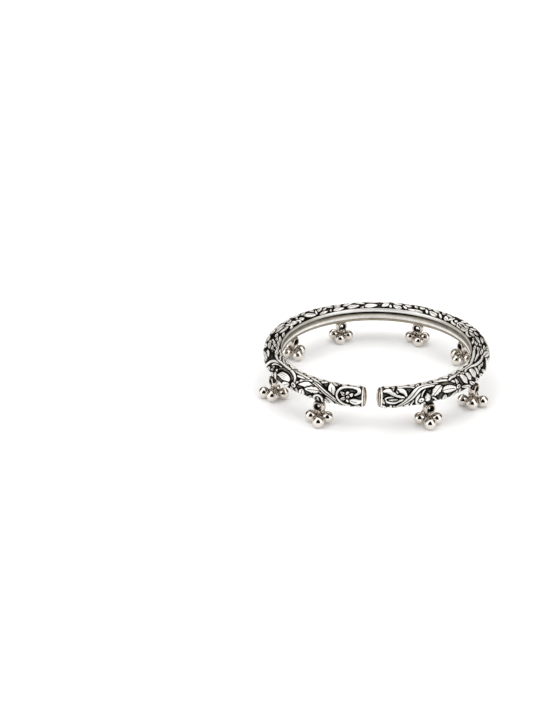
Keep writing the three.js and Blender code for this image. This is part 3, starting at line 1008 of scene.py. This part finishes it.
def domedEnd(side, name):
    half = np.linspace(0, skinEdge, dome["outlineSteps"])
    out, up = skinPoint(half, 0 * half)
    flat = np.linspace(cuff["bandHalfHeight"], -cuff["bandHalfHeight"], dome["flatSteps"])[1:-1]
    out = np.concatenate([out, dome["flatOut"] + 0 * flat, out[:0:-1]])
    up = np.concatenate([up, flat, -up[:0:-1]])
    deselectAll()
    bpy.ops.mesh.primitive_circle_add(vertices=len(out), radius=1, fill_type="NOTHING")
    piece = addedPiece(name)
    rise, width = dome["profile"][0]
    outline = np.stack([dome["middle"] + (out - dome["middle"]) * width, up * width, rise + 0 * out], 1)
    moveVertices(piece, outline * mm)
    editAll(piece)
    bpy.ops.mesh.edge_face_add()
    for nextRise, nextWidth in dome["profile"][1:]:
        extrudeUp((nextRise - rise) * mm, nextWidth / width, (dome["middle"] * mm, 0, nextRise * mm))
        rise, width = nextRise, nextWidth
    bpy.ops.mesh.select_all(action="SELECT")
    bpy.ops.mesh.normals_make_consistent(inside=False)
    setMode("OBJECT")
    givePatina(piece, np.interp(vertexPlaces(piece)[:, 2] / mm, dome["shadedRises"], dome["shades"]))
    turn = side * domeTurn
    facing = float(facingAt(turn))
    outwards = Vector((math.sin(facing), -math.cos(facing), 0))
    towardsGap = Vector((-side * math.cos(facing), -side * math.sin(facing), 0))
    centre = Vector(cuffPoint(turn, 0.0, 0.0).tolist()) * mm
    turned = Matrix((outwards, (0, 0, 1), towardsGap)).transposed().to_4x4()
    piece.data.transform(Matrix.Translation(centre) @ turned)
    pickOnly(piece)
    if turned.determinant() < 0:
        piece.data.flip_normals()
    bpy.ops.object.shade_smooth_by_angle(angle=math.radians(dome["creaseOver"]))
    finishPiece(piece, "cuff", "polished_silver")


domedEnd(-1, "dome_left")
domedEnd(1, "dome_right")
print("tube and domes ready")

# Where the clusters hang: degrees round the cuff, how far outside the centreline, how far the link is turned
clusters = [
    (-26.6, 0.4, 25), (30.9, 0.2, -22), (64.6, 1.1, 26), (121.2, -1.4, 26),
    (156.7, -0.1, 26), (-156.7, -0.3, -26), (-117.1, -1.5, -26), (-61.4, 0.8, -26),
]
quarterTurn = math.pi / 2


def addTorus(name, sizes, turn, height=0.0):
    deselectAll()
    bpy.ops.mesh.primitive_torus_add(
        major_radius=sizes["radius"] * mm, minor_radius=sizes["wire"] * mm, major_segments=sizes["steps"][0],
        minor_segments=sizes["steps"][1], rotation=turn, location=(0, 0, height * mm),
    )
    thing = addedPiece(name)
    pickOnly(thing)
    bpy.ops.object.transform_apply(location=True, rotation=True, scale=True)
    return thing


# One ring, its top flared where it is soldered under the tube, and thick inside, so that its hole is small.
# Its top under the tube and the inside of its hole are painted dark as painted shade
ring = {
    "radius": 1.53, "wire": 0.5, "steps": (72, 22),
    "solder": 0.27,
    "flareFrom": 0.95, "flareAlong": 0.35, "flareAcross": 0.4,
    "thickerInside": 0.7, "thickerFrom": (-1.05, 0.6),
    "deeper": 1.3, "deeperSides": 2.3, "sidesFrom": (0.75, 0.4),
    "squarer": 0.65, "squarestShare": 4,
    "patina": 0.2, "oxideAndShade": 0.78, "topShade": 0.9, "topFrom": (1.35, 0.4), "holeShadeFrom": (0.12, 0.25),
}
ringPattern = addTorus("ringPattern", ring, (quarterTurn, 0, 0))
places = vertexPlaces(ringPattern) / mm
flare = ramp(places[:, 2], ring["flareFrom"], ring["radius"] + ring["wire"] - ring["flareFrom"]) ** 2
places[:, 0] *= 1 + ring["flareAlong"] * flare
places[:, 1] *= 1 + ring["flareAcross"] * flare
away = np.hypot(places[:, 0], places[:, 2])
inner = ramp(away, ring["radius"], -ring["wire"])
thicker = 1 - ring["thickerInside"] * inner * ring["wire"] / away * ramp(places[:, 2], *ring["thickerFrom"])
places[:, [0, 2]] *= thicker[:, None]
wide = np.where(places[:, 2] > 0, 1, ramp(np.abs(places[:, 0]), *ring["sidesFrom"]))
deep = ring["deeper"] + (ring["deeperSides"] - ring["deeper"]) * wide
squarer = (np.abs(places[:, 1]) / ring["wire"] + 1e-6) ** (-ring["squarer"] * inner * wide)
places[:, 1] *= deep * np.minimum(squarer, ring["squarestShare"])
moveVertices(ringPattern, places * mm)
# painted shade: dark on the top, under the tube, and inside the hole
oxideAndShade = np.maximum(ring["topShade"] * ramp(places[:, 2], *ring["topFrom"]), ramp(inner, *ring["holeShadeFrom"]))
givePatina(ringPattern, ring["patina"] + ring["oxideAndShade"] * oxideAndShade)
bpy.ops.object.shade_smooth()

# One link, drawn apart later to the length of its cluster
link = {
    "radius": 0.9, "wire": 0.2, "steps": (44, 14),
    "play": 0.15, "thickerTop": 0.5,
    "patina": 0.12, "oxideAndShade": 0.95, "oxideAndShadeFrom": 0.25, "shadeGrowth": 1.5,
}
linkPattern = addTorus("linkPattern", link, (0, quarterTurn, 0))
places = vertexPlaces(linkPattern) / mm
height = places[:, 2]
middleLine = places[:, 1:] / np.hypot(places[:, 1], height)[:, None] * link["radius"]
thicker = 1 + link["thickerTop"] * np.clip(height / link["radius"], 0, 1) ** 2
places[:, 1:] = middleLine + (places[:, 1:] - middleLine) * thicker[:, None]
places[:, 0] *= thicker
moveVertices(linkPattern, places * mm)
# painted shade: the link is painted darker higher up, where it lies in the ring's hole under the tube
darker = link["patina"] + link["shadeGrowth"] * (height - link["oxideAndShadeFrom"])
givePatina(linkPattern, np.clip(darker, link["patina"], link["oxideAndShade"]))
bpy.ops.object.shade_smooth()

# One bead: a ball whose top is drawn out into a neck, and the loop on it
bead = {
    "radius": 1.86, "segments": (48, 30),
    "neckLength": 0.27, "neckDegrees": 11,
    "neckSteps": [(0.05, 0.86), (0.07, 0.88), (0.12, 0.94), (0.12, 1.04)],  # rise, and width by the last
    "loop": {"radius": 0.44, "wire": 0.16, "steps": (32, 12)},
    "loopPlay": 0.03,
    "mergeWithin": 0.004, "dropUnder": 0.002, "creaseOver": 40,
    # how black it is round the neck and, a little more, on the loop
    "neckMiddle": 0.1, "oxideAndShadeFrom": (0.2, 0.9), "oxideAndShade": 0.8, "oxideMost": 0.75,
    "loopAbove": 0.2, "loopOxide": 0.15,
    # name, degrees round the link from its lowest point, sideways, outward and down from there
    "places": [
        ("outer", 70, 0, 0.866, 0.5), ("inner", -70, 0, -0.866, 0.5),
        ("right", 24, 0.98, -0.05, 0.2), ("left", -24, -0.98, 0.05, 0.2),
    ],
}
loopMiddle = bead["radius"] + bead["neckLength"] + bead["loop"]["radius"]
reach = loopMiddle + bead["loopPlay"]
_, lowestDegrees, _, _, lowestDown = bead["places"][0]  # the outer bead lies on the floor
lowestBend = bead["radius"] + reach * lowestDown + link["radius"] * math.cos(math.radians(lowestDegrees))

deselectAll()
segments, rings = bead["segments"]
bpy.ops.mesh.primitive_uv_sphere_add(segments=segments, ring_count=rings, radius=bead["radius"] * mm)
ball = addedPiece("beadPattern")
setMode("EDIT")
bpy.ops.mesh.select_mode(type="FACE")
bpy.ops.mesh.select_all(action="DESELECT")
setMode("OBJECT")
neckHeight = bead["radius"] * mm * math.cos(math.radians(bead["neckDegrees"]))
for face in ball.data.polygons:
    face.select = face.center.z > neckHeight
setMode("EDIT")
for rise, share in bead["neckSteps"]:
    extrudeUp(rise * mm, share, (0, 0, bead["radius"] * mm))
setMode("OBJECT")
loop = addTorus("beadLoop", bead["loop"], (0, quarterTurn, 0), loopMiddle)
pickOnly(ball)
union = ball.modifiers.new("union", "BOOLEAN")
union.operation = "UNION"
union.object = loop
bpy.ops.object.modifier_apply(modifier="union")
bpy.data.objects.remove(loop)
editAll(ball)
bpy.ops.mesh.remove_doubles(threshold=bead["mergeWithin"] * mm)
bpy.ops.mesh.dissolve_degenerate(threshold=bead["dropUnder"] * mm)
setMode("OBJECT")
bpy.ops.object.shade_smooth_by_angle(angle=math.radians(bead["creaseOver"]))
places = vertexPlaces(ball) / mm
fromNeck = np.hypot(np.hypot(places[:, 0], places[:, 1]), places[:, 2] - bead["radius"] - bead["neckMiddle"])
start, length = bead["oxideAndShadeFrom"]
oxideAndShade = np.clip(bead["oxideAndShade"] * (1 - (fromNeck - start) / length), 0.0, bead["oxideMost"])
onLoop = places[:, 2] > bead["radius"] + bead["loopAbove"]
givePatina(ball, oxideAndShade + np.where(onLoop, bead["loopOxide"], 0))


def beadTurn(onLink, direction):  # the loop faces along the link's wire as nearly as it can
    swing = math.radians(onLink)
    toLink = -direction
    alongWire = Vector((0, -math.cos(swing), math.sin(swing)))
    acrossWire = toLink.cross(alongWire).normalized()
    through = acrossWire.cross(toLink)
    return Matrix((through, acrossWire, toLink)).transposed().to_4x4()


def undersideAt(outside):
    if outside > 0:
        return cuff["halfHeight"] * math.sqrt(1 - (outside / cuff["outerDepth"]) ** 2)
    return cuff["bandHalfHeight"] + shoulder * math.sqrt(1 - (outside / cuff["innerDepth"]) ** 2)


for number, (degrees, outside, turned) in enumerate(clusters, 1):
    turn = math.radians(degrees)
    facing = float(facingAt(turn))
    foot = Vector(cuffPoint(turn, outside, -cuff["height"]).tolist()) * mm
    ringHeight = cuff["height"] - undersideAt(outside) + ring["solder"] - ring["wire"] - ring["radius"]
    lifted = Matrix.Translation(foot + Vector((0, 0, ringHeight * mm))) @ Matrix.Rotation(facing, 4, "Z")
    soldered = copyPiece(ringPattern, f"solderedRing_{number}", lifted)
    finishPiece(soldered, "cuff", "polished_silver")

    hanging = Matrix.Translation(foot) @ Matrix.Rotation(facing + math.radians(turned), 4, "Z")
    linkTop = ringHeight - ring["radius"] + ring["wire"] + link["play"] + link["wire"]
    straight = linkTop - link["radius"] - lowestBend
    oval = copyPiece(linkPattern, f"ovalLink_{number}")
    places = vertexPlaces(oval)
    places[:, 2] += np.sign(np.round(places[:, 2], 7)) * straight / 2 * mm
    moveVertices(oval, places)
    oval.data.transform(hanging @ Matrix.Translation((0, 0, (lowestBend + straight / 2) * mm)))
    finishPiece(oval, f"link_{number}", "polished_silver")

    for beadName, onLink, sideways, outward, down in bead["places"]:
        swing = math.radians(onLink)
        direction = Vector((sideways, -outward, -down)).normalized()
        onWire = Vector((0, -link["radius"] * math.sin(swing), lowestBend - link["radius"] * math.cos(swing)))
        place = hanging @ Matrix.Translation((onWire + direction * reach) * mm) @ beadTurn(onLink, direction)
        silverBead = copyPiece(ball, f"silverBead_{number}_{beadName}", place)
        finishPiece(silverBead, f"bead_{number}_{beadName}", "polished_silver")

for pattern in (ringPattern, linkPattern, ball):
    bpy.data.objects.remove(pattern)
print("clusters ready")
